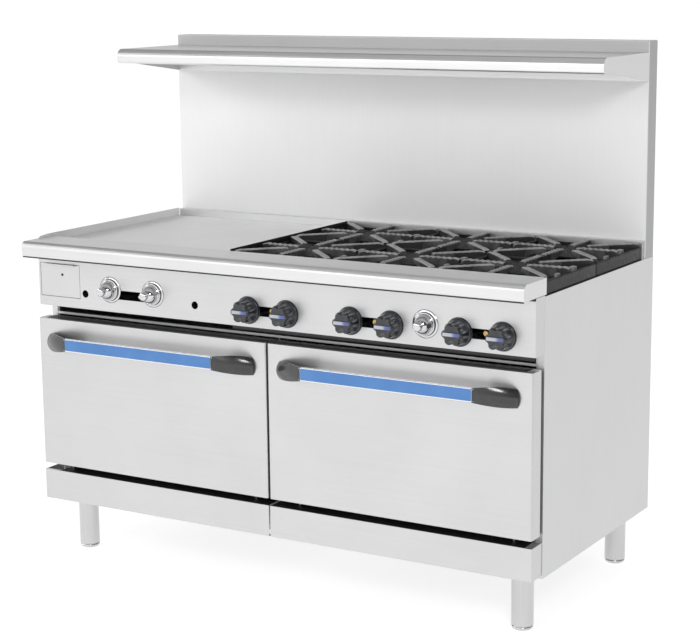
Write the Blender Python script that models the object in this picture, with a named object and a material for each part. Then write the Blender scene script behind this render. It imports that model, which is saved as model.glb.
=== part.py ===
"""A 60 inch commercial gas range: griddle, six open burners, two ovens, back guard with overshelf.

Metres, +Z up. +X is the viewer's right, -Y is the front and +Y the wall side.
The origin is on the floor, under the middle of the range.
"""

import math

import bpy
from mathutils import Vector

# ---- Driving dimensions ----
WIDTH = 1.524
DEPTH = 0.817
HEIGHT = 1.442
SHEET = 0.002
GAP = 0.0005

# Depths, measured from the face plane of the carcass
LEDGE_OVERHANG = 0.119
PANEL_PROUD = 0.051
DOOR_PROUD = 0.062
KICK_PROUD = 0.060
HANDLE_PROUD = 0.118
DOOR_THICK = 0.048
FACE = -DEPTH / 2 + LEDGE_OVERHANG
WALL = DEPTH / 2

# Heights
BODY_BOTTOM = 0.153
KICK_BOTTOM, KICK_TOP = 0.162, 0.247
DOOR_BOTTOM, DOOR_TOP = 0.2665, 0.685
RAIL_BOTTOM, RAIL_TOP = 0.688, 0.6945
PANEL_BOTTOM, PANEL_TOP = 0.7205, 0.8645
SIDE_TOP = 0.862
LEDGE_BOTTOM, LEDGE_TOP = 0.8655, 0.907
GRATE_BOTTOM, GRATE_WALL_TOP, GRATE_TOP = 0.8665, 0.897, 0.910
GRIDDLE_TOP = 0.892
SPLASH_TOP = 0.915
TRIM_TOP = 0.912
SHELF_TOP = 1.4115

# Base and legs
BASE_BOTTOM, BASE_TOP = 0.158, 0.198
BASE_RAIL = 0.040
LEG_X = 0.690
LEG_Y = (FACE + 0.040, FACE + 0.640)
LEG_RADIUS = 0.0285
LEG_FLANGE_RADIUS = 0.045
FOOT_HEIGHT = 0.012
FOOT_STEM_RADIUS = 0.008

# Ovens, one each side of the middle
OVEN_X = 0.381
CAVITY_HALF = 0.330
CAVITY_BOTTOM, CAVITY_TOP = 0.300, 0.656
CAVITY_BACK = 0.300
RACK_Z = 0.4345
FLANGE_BOTTOM, FLANGE_TOP = 0.2925, 0.671

# Doors
DOOR_GAP = 0.0025
DOOR_SIDE = 0.7605
HINGE_Y = FACE - 0.035
HINGE_Z = 0.278
BRACKET_OFFSET = 0.312
PIN_RADIUS = 0.0045

# Door handles
HANDLE_Z = 0.628
HANDLE_REACH = 0.3455
STRIP_HALF = 0.2435
STRIP_HEIGHT = 0.0345
HANDLE_THICK = 0.010
HANDLE_LOW = 0.0195

# Cooking top
GRATE_X0 = -0.153
GRATE_PITCH_X = 0.3045
GRATE_Y0 = FACE + 0.008
GRATE_PITCH_Y = 0.304
GRATE_WALL = 0.008
TRIM_Y = GRATE_Y0 + 2 * GRATE_PITCH_Y + 0.001
GUARD_Y = FACE + 0.636
TROUGH_BACK = FACE + 0.075

# Controls
KNOB_Z = 0.765
KNOB_PAIR_X = (-0.0015, 0.3065, 0.6155)
KNOB_HALF_SPACING = 0.0590
KNOB_RADIUS = 0.0345
GRIDDLE_KNOB_X = (-0.512, -0.3685)
GRIDDLE_KNOB_Z = 0.7815
GRIDDLE_SLOT_Z = 0.7695
THERMOSTAT_X, THERMOSTAT_Z = 0.4635, 0.7765
SLOT_HALF = 0.013
STEM_RADIUS = 0.004
MANIFOLD_Y, MANIFOLD_Z = FACE + 0.030, 0.768
INLET_X = 0.700
LIGHTING_HOLE_X = (-0.599, -0.231)
LIGHTING_HOLE_Z = 0.763
LIGHTING_HOLE_RADIUS = 0.0105

# Drawers
DRAWER_LOW, DRAWER_HIGH = 0.7485, 0.840
DRAWER_LEFT, DRAWER_RIGHT = -0.754, -0.618
TRAY_LOW, TRAY_HIGH = 0.697, 0.7125

# Overshelf
SHELF_FRONT = FACE + 0.3346
SHELF_NOSE, SHELF_HEM = 0.0205, 0.006
SHELF_DROP = 0.041
GUSSET_BACK_DROP = 0.076

# ---- Materials: (colour, roughness, metallic) ----
FINISHES = {
    "stainless": ((0.72, 0.72, 0.73), 0.32, 1.0),
    "black_enamel": ((0.012, 0.012, 0.013), 0.30, 0.0),
    "cast_iron": ((0.022, 0.022, 0.024), 0.60, 0.2),
    "griddle_steel": ((0.62, 0.62, 0.62), 0.38, 1.0),
    "galvanised": ((0.48, 0.49, 0.50), 0.45, 1.0),
    "black_plastic": ((0.02, 0.02, 0.022), 0.22, 0.0),
    "chrome": ((0.80, 0.80, 0.81), 0.08, 1.0),
    "blue_strip": ((0.09, 0.24, 0.55), 0.35, 0.0),
    "brass": ((0.72, 0.52, 0.22), 0.30, 1.0),
    "rack_wire": ((0.70, 0.70, 0.71), 0.20, 1.0),
}


def make_materials():
    made = {}
    for name, (colour, roughness, metallic) in FINISHES.items():
        material = bpy.data.materials.new(name)
        material.use_nodes = True
        shader = material.node_tree.nodes["Principled BSDF"]
        shader.inputs["Base Color"].default_value = (*colour, 1)
        shader.inputs["Roughness"].default_value = roughness
        shader.inputs["Metallic"].default_value = metallic
        made[name] = material
    return made


# ---- Shapes: each is (points, faces), in world metres, faces pointing out ----
def box(low, high):
    """A block between two corners."""
    points = [(x, y, z) for x in (low[0], high[0]) for y in (low[1], high[1]) for z in (low[2], high[2])]
    faces = [(0, 1, 3, 2), (4, 6, 7, 5), (0, 4, 5, 1), (2, 3, 7, 6), (0, 2, 6, 4), (1, 5, 7, 3)]
    return points, faces


def signed_area(outline):
    ends = outline[1:] + outline[:1]
    return sum(a[0] * b[1] - b[0] * a[1] for a, b in zip(outline, ends)) / 2


def prism(outline, axis, low, high):
    """An outline in the plane across `axis`, extruded along it. Outlines are (y, z), (x, z) or (x, y)."""
    place = {
        "X": lambda p, t: (t, p[0], p[1]),
        "Y": lambda p, t: (p[0], t, p[1]),
        "Z": lambda p, t: (p[0], p[1], t),
    }[axis]
    outline = list(outline)
    if (signed_area(outline) > 0) == (axis == "Y"):
        outline.reverse()
    count = len(outline)
    points = [place(p, low) for p in outline] + [place(p, high) for p in outline]
    faces = [(i, (i + 1) % count, (i + 1) % count + count, i + count) for i in range(count)]
    faces += [tuple(range(count - 1, -1, -1)), tuple(range(count, 2 * count))]
    return points, faces


def rings(sections):
    """Skin over closed loops of equal length, with flat ends; the loops turn right-handed along their way."""
    count = len(sections[0])
    points = [p for section in sections for p in section]
    faces = []
    for s in range(len(sections) - 1):
        for i in range(count):
            j = (i + 1) % count
            faces.append((s * count + i, s * count + j, (s + 1) * count + j, (s + 1) * count + i))
    last = (len(sections) - 1) * count
    faces += [tuple(range(count - 1, -1, -1)), tuple(range(last, last + count))]
    return points, faces


def turned(profile, centre, axis, segments=20):
    """A solid of revolution: profile is (radius, distance along axis) from its back to its front.

    A profile that ends at a smaller distance than it reached makes a blind bore in the front.
    """
    axis = Vector(axis).normalized()
    across = axis.orthogonal().normalized()
    other = axis.cross(across)
    loops = []
    for radius, along in profile:
        middle = Vector(centre) + along * axis
        loops.append(
            [
                tuple(middle + radius * (math.cos(a) * across + math.sin(a) * other))
                for a in (2 * math.pi * i / segments for i in range(segments))
            ]
        )
    return rings(loops)


def rod(start, end, radius, segments=16):
    along = Vector(end) - Vector(start)
    return turned([(radius, 0), (radius, along.length)], start, along, segments)


def arc(centre, radius, start, stop, steps):
    """Points on an arc in a plane; angles in degrees."""
    angles = [math.radians(start + (stop - start) * i / steps) for i in range(steps + 1)]
    return [(centre[0] + radius * math.cos(a), centre[1] + radius * math.sin(a)) for a in angles]


def stadium(middle, half_length, half_height, steps=8):
    """A slot outline with round ends, in (x, z)."""
    right = arc((middle[0] + half_length, middle[1]), half_height, -90, 90, steps)
    left = arc((middle[0] - half_length, middle[1]), half_height, 90, 270, steps)
    return right + left


def mirrored(outline):
    return [(-a, b) for a, b in outline]


# ---- Objects ----
MATERIALS = {}


def add_object(name, shape, origin=(0, 0, 0)):
    points, faces = shape
    mesh = bpy.data.meshes.new(name)
    mesh.from_pydata([tuple(Vector(p) - Vector(origin)) for p in points], [], faces)
    mesh.update()
    made = bpy.data.objects.new(name, mesh)
    made.location = origin
    bpy.context.scene.collection.objects.link(made)
    return made


def add_boolean(target, operation, tool):
    modifier = target.modifiers.new(tool.name, "BOOLEAN")
    modifier.operation = operation
    modifier.solver = "EXACT"
    modifier.object = tool


def helper(name, shape, operation, target):
    """A wire-drawn tool that is joined to, or cut from, the target."""
    tool = add_object(name, shape)
    tool.hide_render = True
    tool.display_type = "WIRE"
    add_boolean(target, operation, tool)
    return tool


def part(name, finish, shapes, cuts=(), origin=(0, 0, 0), parent=None):
    """One sub-part: the first shape with the others joined to it, then the cuts taken away."""
    made = add_object(name, shapes[0], origin)
    for index, shape in enumerate(shapes[1:]):
        helper(f"{name}.add{index}", shape, "UNION", made)
    for index, shape in enumerate(cuts):
        helper(f"{name}.cut{index}", shape, "DIFFERENCE", made)
    made.data.materials.append(MATERIALS[finish])
    made.data.shade_smooth()
    made.data.set_sharp_from_angle(angle=math.radians(35))
    if parent is not None:
        made.parent = parent
        made.location = (0, 0, 0)
    return made


def joint_empty(name, place):
    empty = bpy.data.objects.new(name, None)
    empty.location = place
    empty.empty_display_size = 0.05
    bpy.context.scene.collection.objects.link(empty)
    bpy.context.view_layer.update()
    return empty


SIDES = (("left", -1), ("right", 1))


def span(a, b):
    return (min(a, b), max(a, b))


# ---- Carcass ----
def make_side_panels():
    """Folded sheets with a return at the front and at the back."""
    half, lip = WIDTH / 2, 0.020
    front, back = FACE, WALL
    outline = [
        (half - lip, front),
        (half, front),
        (half, back),
        (half - lip, back),
        (half - lip, back - SHEET),
        (half - SHEET, back - SHEET),
        (half - SHEET, front + SHEET),
        (half - lip, front + SHEET),
    ]
    part("side_panel_right", "stainless", [prism(outline, "Z", BODY_BOTTOM, SIDE_TOP)])
    part("side_panel_left", "stainless", [prism(mirrored(outline), "Z", BODY_BOTTOM, SIDE_TOP)])


def make_back_panel():
    half = WIDTH / 2 - SHEET - GAP
    inlet = rod((INLET_X, WALL - 0.010, MANIFOLD_Z), (INLET_X, WALL, MANIFOLD_Z), 0.020)
    sheet = box((-half, WALL - 0.0050, BASE_TOP + 0.002), (half, WALL - 0.0030, SIDE_TOP - 0.002))
    part("back_panel", "galvanised", [sheet], [inlet])


def make_base_frame():
    """A ladder of folded channels, open downwards."""
    half = WIDTH / 2 - SHEET - 0.001
    front, back = FACE + SHEET + 0.001, WALL - 0.006
    plate = 0.003
    windows, pockets = [], []
    middle = BASE_RAIL / 2
    for _, side in SIDES:
        inner, outer = side * middle, side * (half - BASE_RAIL)
        low, high = span(inner, outer)
        windows.append(
            box(
                (low, front + BASE_RAIL, BASE_BOTTOM - 0.01),
                (high, back - BASE_RAIL, BASE_TOP + 0.01),
            )
        )
        low, high = span(outer + side * plate, side * (half - plate))
        pockets.append(box((low, front + plate, BASE_BOTTOM - 0.01), (high, back - plate, BASE_TOP - plate)))
    cross = half - BASE_RAIL - 0.001
    for low, high in ((front, front + BASE_RAIL), (back - BASE_RAIL, back)):
        pockets.append(
            box((-cross, low + plate, BASE_BOTTOM - 0.01), (cross, high - plate, BASE_TOP - plate))
        )
    whole = box((-half, front, BASE_BOTTOM), (half, back, BASE_TOP))
    part("base_frame", "galvanised", [whole], windows + pockets)


def bracket_shape(x):
    """A hinge bracket: a plate that reaches forward from the frame to the hinge axis."""
    nose = arc((HINGE_Y, HINGE_Z), 0.010, 90, 270, 8)
    outline = [
        (FACE + 0.028, HINGE_Z + 0.010),
        *nose,
        (FACE - 0.019, HINGE_Z - 0.010),
        (FACE - 0.019, KICK_TOP - 0.030),
        (FACE + 0.004, BASE_TOP + 0.006),
        (FACE + 0.028, BASE_TOP + 0.006),
    ]
    return prism(outline, "X", x - 0.002, x + 0.002)


def make_front_frame():
    """Uprights, rails, an apron below the ovens and the door hinge brackets."""
    half = WIDTH / 2 - 0.0205
    low = BASE_TOP + GAP
    depth = (FACE + SHEET + GAP, FACE + 0.030)
    shapes = [
        box((-half, depth[0], low), (half, depth[1], low + 0.008)),
        box((-half, FACE, RAIL_BOTTOM), (half, FACE + 0.012, RAIL_TOP)),
        box((-half, depth[0], 0.7155), (half, depth[1], 0.7195)),
    ]
    for _, side in SIDES:
        inner, outer = span(side * (half - 0.003), side * half)
        shapes.append(box((inner, depth[0], low), (outer, depth[1], 0.7195)))
    shapes.append(box((-0.0015, depth[0], low), (0.0015, depth[1], RAIL_BOTTOM + 0.001)))
    apron_back = depth[0] + SHEET
    shapes.append(box((-half, depth[0], low), (half, apron_back, FLANGE_BOTTOM - 0.001)))
    bores = []
    for _, side in SIDES:
        for offset in (-BRACKET_OFFSET, BRACKET_OFFSET):
            x = side * OVEN_X + offset
            shapes.append(bracket_shape(x))
            bores.append(rod((x - 0.01, HINGE_Y, HINGE_Z), (x + 0.01, HINGE_Y, HINGE_Z), PIN_RADIUS + 0.001))
    part("front_frame", "stainless", shapes, bores)


def make_kick_panel(name, side):
    """A folded sheet with a lip along its top and bottom and a return at its outer end."""
    front = FACE - KICK_PROUD
    inner, outer = side * 0.002, side * 0.7600
    low, high = span(inner, outer)
    outline = [
        (front, KICK_BOTTOM),
        (front + 0.014, KICK_BOTTOM),
        (front + 0.014, KICK_BOTTOM + SHEET),
        (front + SHEET, KICK_BOTTOM + SHEET),
        (front + SHEET, KICK_TOP - SHEET),
        (front + 0.008, KICK_TOP - SHEET),
        (front + 0.008, KICK_TOP),
        (front, KICK_TOP),
    ]
    end = span(outer, outer - side * SHEET)
    end_plate = box((end[0], front, KICK_BOTTOM), (end[1], FACE - GAP, KICK_TOP))
    foot = span(outer, outer - side * 0.016)
    end_lip = box((foot[0], FACE - GAP - SHEET, KICK_BOTTOM), (foot[1], FACE - GAP, KICK_TOP))
    part(name, "stainless", [prism(outline, "X", low, high), end_plate, end_lip])


# ---- Legs ----
def make_leg(name, x, y):
    """A tube on a flange, with a blind bore for the foot's stem."""
    top = BASE_BOTTOM - GAP
    low = FOOT_HEIGHT + GAP
    profile = [
        (FOOT_STEM_RADIUS + 0.001, low + 0.100),
        (FOOT_STEM_RADIUS + 0.001, low),
        (LEG_RADIUS, low),
        (LEG_RADIUS, top - 0.004),
        (LEG_FLANGE_RADIUS, top - 0.004),
        (LEG_FLANGE_RADIUS, top),
    ]
    part(name, "stainless", [turned(profile, (x, y, 0), (0, 0, 1), 24)])


def make_foot(name, x, y):
    """A rounded foot on a threaded stem; it screws out of the leg."""
    profile = [
        (0.019, 0),
        (0.0245, 0.0025),
        (0.0275, 0.007),
        (0.0275, FOOT_HEIGHT),
        (FOOT_STEM_RADIUS, FOOT_HEIGHT),
        (FOOT_STEM_RADIUS, FOOT_HEIGHT + 0.090),
    ]
    part(name, "stainless", [turned(profile, (x, y, 0), (0, 0, 1), 24)], origin=(x, y, 0))


# ---- Ovens ----
def make_oven_liner(name, side):
    """An open-fronted box with a flange round its mouth and three pairs of rack guides."""
    middle = side * OVEN_X
    wall = CAVITY_HALF + SHEET
    flange_x = span(side * 0.003, side * 0.7375)
    shapes = [
        box(
            (middle - wall, FACE, CAVITY_BOTTOM - SHEET),
            (middle + wall, CAVITY_BACK + SHEET, CAVITY_TOP + SHEET),
        ),
        box((flange_x[0], FACE, FLANGE_BOTTOM), (flange_x[1], FACE + SHEET, FLANGE_TOP)),
    ]
    cavity = box(
        (middle - CAVITY_HALF, FACE - 0.01, CAVITY_BOTTOM),
        (middle + CAVITY_HALF, CAVITY_BACK, CAVITY_TOP),
    )
    made = part(name, "black_enamel", shapes, [cavity])
    guides = 0
    for _, flank in SIDES:
        for level in (-0.070, 0, 0.090):
            x = span(middle + flank * (CAVITY_HALF + 0.001), middle + flank * (CAVITY_HALF - 0.008))
            z = RACK_Z - 0.0005 + level
            guide = box((x[0], FACE + 0.02, z - 0.005), (x[1], CAVITY_BACK - 0.01, z))
            helper(f"{name}.guide{guides}", guide, "UNION", made)
            guides += 1


def make_oven_rack(name, side):
    """A wire shelf: a frame with wires across it, on the middle guides."""
    middle = side * OVEN_X
    half = CAVITY_HALF - 0.003
    front, back = FACE + 0.028, CAVITY_BACK - 0.016
    thick, low = 0.006, RACK_Z
    shapes = []
    for y in (front, (front + back - thick) / 2, back - thick):
        shapes.append(box((middle - half, y, low), (middle + half, y + thick, low + thick)))
    for _, flank in SIDES:
        x = span(middle + flank * half, middle + flank * (half - thick))
        shapes.append(box((x[0], front, low), (x[1], back, low + thick)))
    wires = 11
    for i in range(wires):
        x = middle - half + (i + 1) * 2 * half / (wires + 1)
        shapes.append(
            box((x - 0.002, front + 0.001, low + 0.003), (x + 0.002, back - 0.001, low + 0.0075))
        )
    part(name, "rack_wire", shapes)


def make_oven_burner(name, side):
    """A straight tube burner below the oven floor, with a flame spreader over it."""
    middle, level = side * OVEN_X, 0.245
    tube = rod((middle, FACE + 0.07, level), (middle, CAVITY_BACK - 0.05, level), 0.016)
    web = box(
        (middle - 0.002, FACE + 0.12, level + 0.014),
        (middle + 0.002, CAVITY_BACK - 0.10, level + 0.034),
    )
    spreader = box(
        (middle - 0.11, FACE + 0.10, level + 0.032),
        (middle + 0.11, CAVITY_BACK - 0.08, level + 0.035),
    )
    mixer = turned(
        [(0.011, 0), (0.019, 0.004), (0.019, 0.020), (0.014, 0.034)],
        (middle, FACE + 0.045, level),
        (0, 1, 0),
        16,
    )
    part(name, "cast_iron", [tube, web, spreader, mixer])


# ---- Doors ----
def make_door(name, side):
    """A stainless pan, an inner liner with the hinge pins, a handle and its coloured insert."""
    inner, outer = side * DOOR_GAP, side * DOOR_SIDE
    left, right = span(inner, outer)
    front, back = FACE - DOOR_PROUD, FACE - DOOR_PROUD + DOOR_THICK
    middle = side * OVEN_X
    pivot = joint_empty(f"door_{name}_hinge", (middle, HINGE_Y, HINGE_Z))

    radius = 0.006
    plan = [
        (left, back),
        *arc((left + radius, front + radius), radius, 180, 270, 3),
        *arc((right - radius, front + radius), radius, 270, 360, 3),
        (right, back),
    ]
    pan = prism(plan, "Z", DOOR_BOTTOM, DOOR_TOP)
    hollow = box(
        (left + SHEET, front + SHEET, DOOR_BOTTOM + SHEET),
        (right - SHEET, back + 0.01, DOOR_TOP - SHEET),
    )
    slots = []
    for offset in (-BRACKET_OFFSET, BRACKET_OFFSET):
        x = middle + offset
        slots.append(
            box((x - 0.005, HINGE_Y - 0.012, DOOR_BOTTOM - 0.01), (x + 0.005, back + 0.01, HINGE_Z + 0.014))
        )
    part(f"door_shell_{name}", "stainless", [pan], [hollow, *slots], pivot.location, pivot)

    inset = SHEET + GAP
    low, high = DOOR_BOTTOM + inset, DOOR_TOP - inset
    shapes = [
        box((left + inset, back - 0.0125, low), (right - inset, back - GAP, high)),
        box((middle - 0.312, back - 0.006, 0.318), (middle + 0.312, back + 0.007, 0.640)),
    ]
    for offset in (-BRACKET_OFFSET, BRACKET_OFFSET):
        x = middle + offset
        for ear in (-0.012, 0.012):
            shapes.append(
                box(
                    (x + ear - 0.003, HINGE_Y - 0.008, HINGE_Z - 0.0085),
                    (x + ear + 0.003, back - 0.011, HINGE_Z + 0.010),
                )
            )
        shapes.append(rod((x - 0.0145, HINGE_Y, HINGE_Z), (x + 0.0145, HINGE_Y, HINGE_Z), PIN_RADIUS, 12))
    notches = [
        box(
            (middle + offset - 0.005, back - 0.02, DOOR_BOTTOM - 0.01),
            (middle + offset + 0.005, back + 0.01, HINGE_Z + 0.014),
        )
        for offset in (-BRACKET_OFFSET, BRACKET_OFFSET)
    ]
    liner = part(f"door_liner_{name}", "galvanised", shapes[:2], notches, pivot.location, pivot)
    for index, shape in enumerate(shapes[2:]):
        helper(f"door_liner_{name}.hinge{index}", shape, "UNION", liner)

    make_handle(name, middle, front, pivot)


def make_handle(name, middle, door_front, pivot):
    """A flat bar whose ends curve back to the door and widen downwards; a strip is set in its face."""
    face = FACE - HANDLE_PROUD
    bar_front = face + 0.0015 + GAP
    bend = HANDLE_REACH - STRIP_HALF - 0.004
    steps = 7
    stations = []
    for i in range(steps + 1):
        t = i / steps
        out = STRIP_HALF + 0.004 + bend * math.sin(t * math.pi / 2)
        depth = (door_front - GAP - HANDLE_THICK - bar_front) * (1 - math.cos(t * math.pi / 2))
        stations.append((out, bar_front + depth, HANDLE_LOW + 0.013 * t))
    sections = []
    high = HANDLE_Z + HANDLE_LOW
    for out, y, drop in [(-o, y, d) for o, y, d in reversed(stations)] + stations:
        x = middle + out
        sections.append(
            [
                (x, y, HANDLE_Z - drop),
                (x, y + HANDLE_THICK, HANDLE_Z - drop),
                (x, y + HANDLE_THICK, high),
                (x, y, high),
            ]
        )
    part(f"door_handle_{name}", "black_plastic", [rings(sections)], (), pivot.location, pivot)
    strip = box(
        (middle - STRIP_HALF, face, HANDLE_Z - STRIP_HEIGHT / 2),
        (middle + STRIP_HALF, face + 0.0015, HANDLE_Z + STRIP_HEIGHT / 2),
    )
    part(f"handle_insert_{name}", "blue_strip", [strip], (), pivot.location, pivot)


# ---- Controls ----
def valve_places():
    """(x, z) of every control, left to right."""
    burners = [(x + s * KNOB_HALF_SPACING, KNOB_Z) for x in KNOB_PAIR_X for s in (-1, 1)]
    griddle = [(x, GRIDDLE_KNOB_Z) for x in GRIDDLE_KNOB_X]
    return sorted(burners + griddle + [(THERMOSTAT_X, THERMOSTAT_Z)])


def make_control_panel():
    """A folded front with returns; openings for the controls, the drawer and lighting the burners."""
    front, back = FACE - PANEL_PROUD, FACE - GAP
    half = WIDTH / 2 - 0.0005
    profile = [
        (front, PANEL_BOTTOM),
        (back, PANEL_BOTTOM),
        (back, PANEL_BOTTOM + SHEET),
        (front + SHEET, PANEL_BOTTOM + SHEET),
        (front + SHEET, PANEL_TOP - SHEET),
        (back - 0.012, PANEL_TOP - SHEET),
        (back - 0.012, PANEL_TOP),
        (front, PANEL_TOP),
    ]
    shapes = [prism(profile, "X", -half, half)]
    for _, side in SIDES:
        x = span(side * half, side * (half - SHEET))
        shapes.append(box((x[0], front, PANEL_BOTTOM), (x[1], back, PANEL_TOP)))
    through = (front - 0.01, front + 0.01)
    cuts = [
        box(
            (DRAWER_LEFT - 0.001, through[0], DRAWER_LOW - 0.001),
            (DRAWER_RIGHT + 0.001, through[1], DRAWER_HIGH + 0.001),
        )
    ]
    for x in LIGHTING_HOLE_X:
        cuts.append(
            rod((x, through[0], LIGHTING_HOLE_Z), (x, through[1], LIGHTING_HOLE_Z), LIGHTING_HOLE_RADIUS)
        )
    for x in KNOB_PAIR_X:
        cuts.append(prism(stadium((x, KNOB_Z), KNOB_HALF_SPACING, SLOT_HALF), "Y", *through))
    griddle_middle = sum(GRIDDLE_KNOB_X) / 2
    griddle_half = (GRIDDLE_KNOB_X[1] - GRIDDLE_KNOB_X[0]) / 2
    cuts.append(prism(stadium((griddle_middle, GRIDDLE_SLOT_Z), griddle_half, 0.0125), "Y", *through))
    for x, z in [(x, GRIDDLE_KNOB_Z) for x in GRIDDLE_KNOB_X] + [(THERMOSTAT_X, THERMOSTAT_Z)]:
        cuts.append(rod((x, through[0], z), (x, through[1], z), 0.012))
    part("control_panel", "stainless", shapes, cuts)


def make_manifold():
    """The gas pipe behind the panel, one valve and stem for each control, and the supply pipe."""
    shapes = [
        rod((-0.600, MANIFOLD_Y, MANIFOLD_Z), (0.725, MANIFOLD_Y, MANIFOLD_Z), 0.0135),
        rod((INLET_X, MANIFOLD_Y, MANIFOLD_Z), (INLET_X, WALL - 0.001, MANIFOLD_Z), 0.0135),
    ]
    valve_front = FACE - 0.026
    stem_front = FACE - PANEL_PROUD - 0.016
    for x, z in valve_places():
        shapes.append(box((x - 0.012, valve_front, z - 0.012), (x + 0.012, MANIFOLD_Y - 0.004, z + 0.012)))
        shapes.append(rod((x, valve_front + 0.002, z), (x, stem_front, z), STEM_RADIUS, 12))
    part("gas_manifold", "brass", shapes)


def lobed_loop(x, y, z, radius, depth, lobes=6, points=36):
    """A closed loop in a plane across Y whose radius dips `depth` between its lobes."""
    loop = []
    for i in range(points):
        a = 2 * math.pi * i / points
        r = radius - depth * 0.5 * (1 - math.cos(lobes * a))
        loop.append((x - r * math.cos(a), y, z + r * math.sin(a)))
    return loop


def knob_bore(x, y, z):
    return rod((x, y + 0.005, z), (x, y - 0.016, z), STEM_RADIUS + 0.0006, 12)


def make_burner_knob(name, x, z):
    """A fluted plastic knob on a round skirt, turning on the valve stem."""
    y = FACE - PANEL_PROUD - 0.002
    stations = [
        (0.0, KNOB_RADIUS, 0),
        (0.005, KNOB_RADIUS, 0),
        (0.011, 0.0315, 0.0005),
        (0.016, 0.0295, 0.0045),
        (0.036, 0.0280, 0.0050),
        (0.041, 0.0245, 0.0042),
    ]
    loops = [list(reversed(lobed_loop(x, y - out, z, r, d))) for out, r, d in stations]
    part(name, "black_plastic", [rings(loops)], [knob_bore(x, y, z)], origin=(x, y, z))


def make_domed_knob(name, x, z):
    """A bright turned knob: a stepped base, a dome and a round nose."""
    y = FACE - PANEL_PROUD - 0.002
    profile = [
        (0.0290, 0.0),
        (0.0290, 0.004),
        (0.0255, 0.006),
        (0.0245, 0.012),
        (0.0215, 0.021),
        (0.0150, 0.030),
        (0.0125, 0.034),
        (0.0125, 0.043),
        (0.0090, 0.047),
    ]
    part(name, "chrome", [turned(profile, (x, y, z), (0, -1, 0), 24)], [knob_bore(x, y, z)], origin=(x, y, z))


# ---- Drawers ----
def make_grease_drawer():
    """An open box behind a flush front with a finger lip."""
    front = FACE - PANEL_PROUD
    back = FACE + 0.260
    left, right = -0.7400, DRAWER_RIGHT - 0.002
    low, high = DRAWER_LOW + 0.0015, 0.832
    shapes = [
        box((DRAWER_LEFT, front, DRAWER_LOW), (DRAWER_RIGHT, front + SHEET, DRAWER_HIGH)),
        box((left, front + 0.001, low), (right, back, high)),
        box((-0.735, front - 0.008, DRAWER_HIGH - 0.003), (-0.631, front + 0.001, DRAWER_HIGH)),
    ]
    hollow = box((left + SHEET, front + SHEET, low + SHEET), (right - SHEET, back - SHEET, high + 0.001))
    part("grease_drawer", "stainless", shapes, [hollow], origin=(0, front, low))


def make_crumb_tray():
    """A shallow pan under the open burners, drawn out below the control panel."""
    front, back = FACE + 0.006, 0.300
    left, right = -0.150, 0.735
    pan = box((left, front, TRAY_LOW), (right, back, TRAY_HIGH))
    inside_low = (left + SHEET, front + SHEET, TRAY_LOW + SHEET)
    inside_high = (right - SHEET, back - SHEET, TRAY_HIGH + 0.01)
    hollow = box(inside_low, inside_high)
    part("crumb_tray", "black_enamel", [pan], [hollow], origin=(0, front, TRAY_LOW))


# ---- Cooking top ----
def make_landing_ledge():
    """A folded ledge with a round front edge and closed ends."""
    front, back = -DEPTH / 2, GRATE_Y0 - 0.001
    lip = FACE - PANEL_PROUD - 0.002

    def outline(inset):
        radius = 0.014 - inset
        top_arc = arc((front + 0.014, LEDGE_TOP - 0.014), radius, 90, 180, 5)
        low_arc = arc((front + 0.004, LEDGE_BOTTOM + 0.004), 0.004 - inset, 180, 270, 2)
        return top_arc, low_arc

    top, low = outline(0)
    outer = [(back, LEDGE_TOP), *top, *low, (back, LEDGE_BOTTOM)]
    top, low = outline(SHEET)
    inner = [
        (back - SHEET, LEDGE_TOP - SHEET),
        *top,
        *low,
        (lip, LEDGE_BOTTOM + SHEET),
        (lip, LEDGE_BOTTOM - 0.01),
        (back - SHEET, LEDGE_BOTTOM - 0.01),
    ]
    half = WIDTH / 2
    cut = prism(inner, "X", -half + SHEET, half - SHEET)
    part("landing_ledge", "stainless", [prism(outer, "X", -half, half)], [cut])


def make_griddle_plate():
    """A thick plate with a grease trough along its front and a drop hole over the drawer."""
    left, right = -0.7565, GRATE_X0 - 0.0015
    back = TRIM_Y - 0.001
    front = GRATE_Y0 + 0.004
    wall = 0.003
    plate = box((left, TROUGH_BACK, GRIDDLE_TOP - 0.019), (right, back, GRIDDLE_TOP))
    trough = box((left, front, 0.850), (right, TROUGH_BACK + 0.001, GRIDDLE_TOP))
    channel = box((left + wall, front + wall, 0.850 + wall), (right - wall, TROUGH_BACK, GRIDDLE_TOP + 0.01))
    drop = (-0.680, (front + TROUGH_BACK) / 2)
    spout = rod((*drop, 0.852), (*drop, 0.842), 0.020)
    hole = rod((*drop, 0.86), (*drop, 0.83), 0.017)
    part("griddle_plate", "griddle_steel", [plate, trough, spout], [channel, hole])


def make_griddle_splash():
    """The raised side of the griddle, whose front end lies on the ledge."""
    outer, inner = -WIDTH / 2 + 0.0005, -WIDTH / 2 + 0.0035
    over = LEDGE_TOP + GAP
    outline = [
        (GRATE_Y0 - 0.0005, SIDE_TOP + GAP),
        (GUARD_Y - 0.020, SIDE_TOP + GAP),
        (GUARD_Y - 0.020, SPLASH_TOP),
        (FACE - 0.010, SPLASH_TOP),
        (FACE - 0.040, over + 0.005),
        (FACE - 0.050, over),
        (GRATE_Y0 - 0.0005, over),
    ]
    part("griddle_splash", "stainless", [prism(outline, "X", outer, inner)])


def make_griddle_burner():
    """Two tube burners under the griddle plate, joined at the back."""
    level = 0.845
    back = TRIM_Y - 0.06
    shapes = [rod((-0.560, back, level), (-0.290, back, level), 0.012)]
    for x in (-0.560, -0.425, -0.290):
        shapes.append(rod((x, FACE + 0.09, level), (x, back + 0.004, level), 0.012))
    part("griddle_burner", "cast_iron", shapes)


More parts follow.
